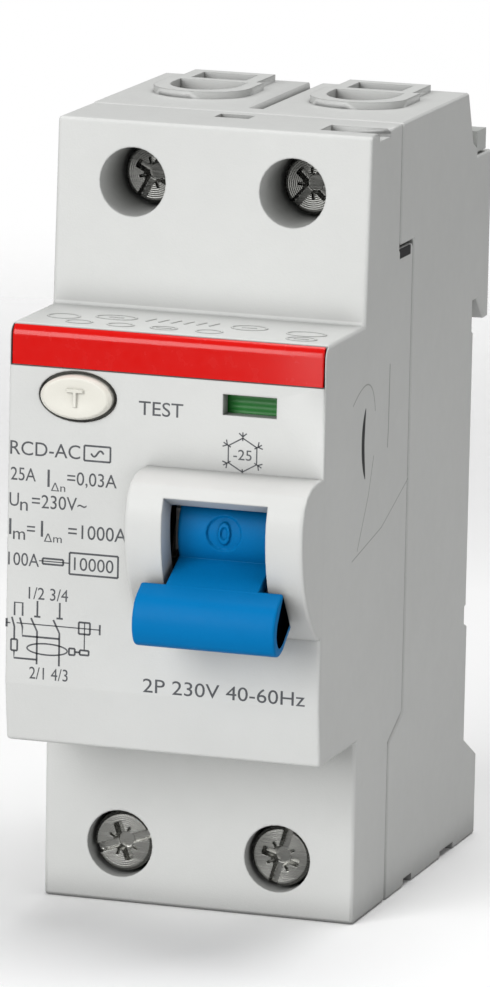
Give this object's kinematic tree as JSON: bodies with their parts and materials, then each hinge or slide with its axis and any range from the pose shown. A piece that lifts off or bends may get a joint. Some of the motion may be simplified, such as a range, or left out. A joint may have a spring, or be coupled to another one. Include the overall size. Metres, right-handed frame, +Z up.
{
  "type": "residual current device",
  "caption": "Two-module residual current device for a 35 mm rail, with a toggle, test button, contact flag, lift-clamp terminals, rail clips and its inner switching and sensing parts.",
  "frame": {"origin": "centre of the rail seat: Y = 0 is the plane that lies on the rail, Z = 0 is the rail's centre line and X = 0 is the middle of the width", "axes": "+Z up, +X to the right seen from the front, +Y to the rear, so the front faces -Y"},
  "size_m": [0.035, 0.069, 0.0858],
  "materials": {
    "housing": "fine matt texture",
    "clip_grey": "satin",
    "stripe_red": "glossy",
    "button_white": "satin",
    "toggle_blue": "semi-gloss",
    "flag_green": "satin",
    "steel": "zinc plated",
    "copper": "bare copper",
    "brass": "bare brass",
    "silver": "silver contact",
    "black_plastic": "satin",
    "core_case": "satin",
    "enamel": "enamelled copper wire",
    "resistor": "matt ceramic"
  },
  "bodies": {
    "housing": {"front_cover": "housing", "rear_base": "housing", "upper_pole_barrier": "housing", "lower_pole_barrier": "housing", "red_stripe": "stripe_red", "test_button_spring": "steel", "toggle_axle": "steel", "toggle_spring": "steel", "frame_plate_left": "steel", "frame_plate_right": "steel", "trip_lever_pin": "steel", "main_spring": "steel", "upper_clip_spring": "steel", "lower_clip_spring": "steel", "pole_conductor_left": "copper", "pole_conductor_right": "copper", "terminal_bar_upper_left": "copper", "terminal_bar_upper_right": "copper", "terminal_bar_lower_left": "copper", "terminal_bar_lower_right": "copper", "test_contact_leaf": "brass", "fixed_contact_tip_left": "silver", "fixed_contact_tip_right": "silver", "trip_relay": "black_plastic", "test_circuit_lead": "black_plastic", "sensor_core": "core_case", "sensor_winding": "enamel", "relay_leads": "enamel", "test_resistor": "resistor"},
    "carrier": {"contact_carrier": "black_plastic", "moving_contact_arm_left": "copper", "moving_contact_arm_right": "copper", "moving_contact_tip_left": "silver", "moving_contact_tip_right": "silver", "contact_spring_left": "steel", "contact_spring_right": "steel"},
    "toggle": {"toggle": "toggle_blue"},
    "contact_flag": {"contact_flag": "flag_green"},
    "test_button": {"test_button": "button_white"},
    "trip_lever": {"trip_lever": "black_plastic"},
    "relay_plunger": {"relay_plunger": "steel"},
    "upper_clip": {"upper_rail_clip": "clip_grey"},
    "lower_clip": {"lower_rail_clip": "clip_grey"},
    "screw_upper_left": {"terminal_screw_upper_left": "steel"},
    "cage_upper_left": {"terminal_cage_upper_left": "steel"},
    "screw_upper_right": {"terminal_screw_upper_right": "steel"},
    "cage_upper_right": {"terminal_cage_upper_right": "steel"},
    "screw_lower_left": {"terminal_screw_lower_left": "steel"},
    "cage_lower_left": {"terminal_cage_lower_left": "steel"},
    "screw_lower_right": {"terminal_screw_lower_right": "steel"},
    "cage_lower_right": {"terminal_cage_lower_right": "steel"}
  },
  "joints": [
    {"name": "toggle_turn", "type": "hinge", "parent": "housing", "child": "toggle", "pos_m": [0.00765, -0.0519, 0.0021], "axis": [-1, 0, 0], "range_deg": [0, 45]},
    {"name": "carrier_slide", "type": "slide", "parent": "housing", "child": "carrier", "axis": [0, -1, 0], "range_m": [0, 0.0034]},
    {"name": "flag_slide", "type": "slide", "parent": "housing", "child": "contact_flag", "axis": [0, 0, -1], "range_m": [0, 0.00261]},
    {"name": "test_button_press", "type": "slide", "parent": "housing", "child": "test_button", "axis": [0, 1, 0], "range_m": [0, 0.0015], "stiffness_N_per_m": 800, "springref_m": -0.0005, "deforming": ["test_button_spring"]},
    {"name": "relay_plunger_slide", "type": "slide", "parent": "housing", "child": "relay_plunger", "axis": [0, 0, 1], "range_m": [0, 0.0005]},
    {"name": "trip_lever_turn", "type": "hinge", "parent": "housing", "child": "trip_lever", "pos_m": [0.00765, -0.0278, -0.0046], "axis": [-1, 0, 0], "range_deg": [0, 6.5]},
    {"name": "upper_clip_slide", "type": "slide", "parent": "housing", "child": "upper_clip", "axis": [0, 0, 1], "range_m": [0, 0.0028], "deforming": ["upper_clip_spring"]},
    {"name": "lower_clip_slide", "type": "slide", "parent": "housing", "child": "lower_clip", "axis": [0, 0, -1], "range_m": [0, 0.0025], "stiffness_N_per_m": 600, "springref_m": -0.0015, "deforming": ["lower_clip_spring"]},
    {"name": "screw_upper_left_turn", "type": "hinge", "parent": "housing", "child": "screw_upper_left", "pos_m": [-0.0089, -0.0327, 0.036], "axis": [0, 1, 0], "range_deg": [0, 2161]},
    {"name": "cage_upper_left_lift", "type": "slide", "parent": "housing", "child": "cage_upper_left", "axis": [0, -1, 0], "range_m": [0, 0.0048]},
    {"name": "screw_upper_right_turn", "type": "hinge", "parent": "housing", "child": "screw_upper_right", "pos_m": [0.0089, -0.0327, 0.036], "axis": [0, 1, 0], "range_deg": [0, 2161]},
    {"name": "cage_upper_right_lift", "type": "slide", "parent": "housing", "child": "cage_upper_right", "axis": [0, -1, 0], "range_m": [0, 0.0048]},
    {"name": "screw_lower_left_turn", "type": "hinge", "parent": "housing", "child": "screw_lower_left", "pos_m": [-0.0089, -0.0389, -0.036], "axis": [0, 1, 0], "range_deg": [0, 2161]},
    {"name": "cage_lower_left_lift", "type": "slide", "parent": "housing", "child": "cage_lower_left", "axis": [0, -1, 0], "range_m": [0, 0.0048]},
    {"name": "screw_lower_right_turn", "type": "hinge", "parent": "housing", "child": "screw_lower_right", "pos_m": [0.0089, -0.0389, -0.036], "axis": [0, 1, 0], "range_deg": [0, 2161]},
    {"name": "cage_lower_right_lift", "type": "slide", "parent": "housing", "child": "cage_lower_right", "axis": [0, -1, 0], "range_m": [0, 0.0048]}
  ],
  "couplings": [
    {"joint": "toggle_turn", "follows": "carrier_slide", "rad_per_m": 230.99},
    {"joint": "flag_slide", "follows": "carrier_slide", "ratio": 0.7647},
    {"joint": "trip_lever_turn", "follows": "relay_plunger_slide", "rad_per_m": 218},
    {"joint": "screw_upper_left_turn", "follows": "cage_upper_left_lift", "rad_per_m": 7854},
    {"joint": "screw_upper_right_turn", "follows": "cage_upper_right_lift", "rad_per_m": 7854},
    {"joint": "screw_lower_left_turn", "follows": "cage_lower_left_lift", "rad_per_m": 7854},
    {"joint": "screw_lower_right_turn", "follows": "cage_lower_right_lift", "rad_per_m": 7854}
  ]
}
